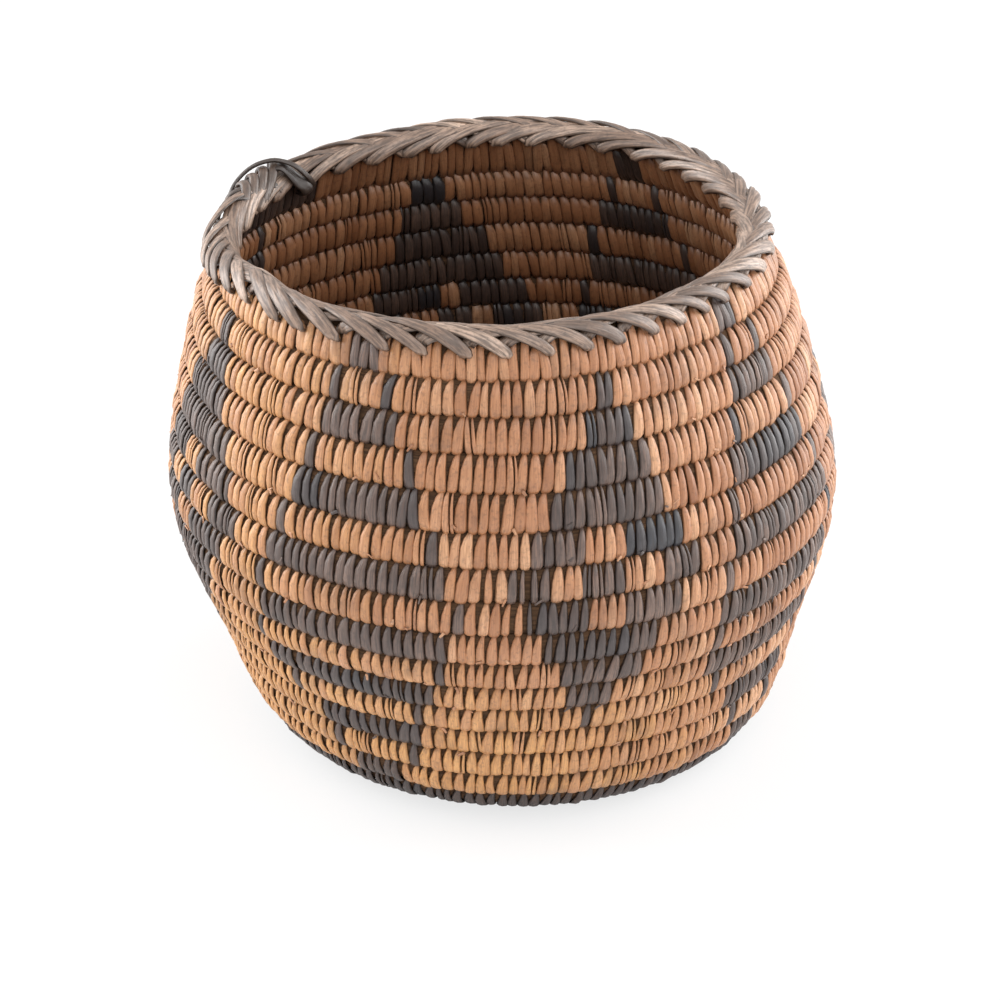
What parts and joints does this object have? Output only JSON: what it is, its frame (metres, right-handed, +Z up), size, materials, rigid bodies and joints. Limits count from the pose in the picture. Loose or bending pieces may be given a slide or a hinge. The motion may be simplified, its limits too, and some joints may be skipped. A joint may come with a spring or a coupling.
{
  "type": "coiled basket",
  "caption": "Round coiled basket: a spiral bundle sewn course to course with splints, bulging wall, flat base and plaited rim, open at the top to hold small things.",
  "frame": {"origin": "middle of the basket's flat underside, on the start knot", "axes": "+Z up along the basket's axis, -Y towards the viewer in the picture, +X to the viewer's right"},
  "size_m": [0.1374, 0.134, 0.1117],
  "materials": {
    "light_splint": "smooth split willow, satin",
    "dark_splint": "smooth split devil's claw, satin",
    "rim_splint": "worn devil's claw, satin",
    "bundle": "split grass stems, matt"
  },
  "bodies": {
    "root": {"start_knot": "dark_splint", "foundation_coil": "bundle", "base_stitch_row_1": "dark_splint", "base_stitch_row_2": "dark_splint", "base_stitch_row_3": "dark_splint", "base_stitch_row_4": "dark_splint", "base_stitch_row_5": "dark_splint", "base_stitch_row_6": "dark_splint", "wall_stitch_row_01": "light_splint", "wall_stitch_row_02": "light_splint", "wall_stitch_row_03": "light_splint", "wall_stitch_row_04": "light_splint", "wall_stitch_row_05": "light_splint", "wall_stitch_row_06": "light_splint", "wall_stitch_row_07": "light_splint", "wall_stitch_row_08": "light_splint", "wall_stitch_row_09": "light_splint", "wall_stitch_row_10": "light_splint", "wall_stitch_row_11": "light_splint", "wall_stitch_row_12": "light_splint", "wall_stitch_row_13": "light_splint", "wall_stitch_row_14": "light_splint", "wall_stitch_row_15": "light_splint", "wall_stitch_row_16": "dark_splint", "rim_braid": "rim_splint", "rim_end_lashing": "rim_splint"}
  },
  "joints": []
}
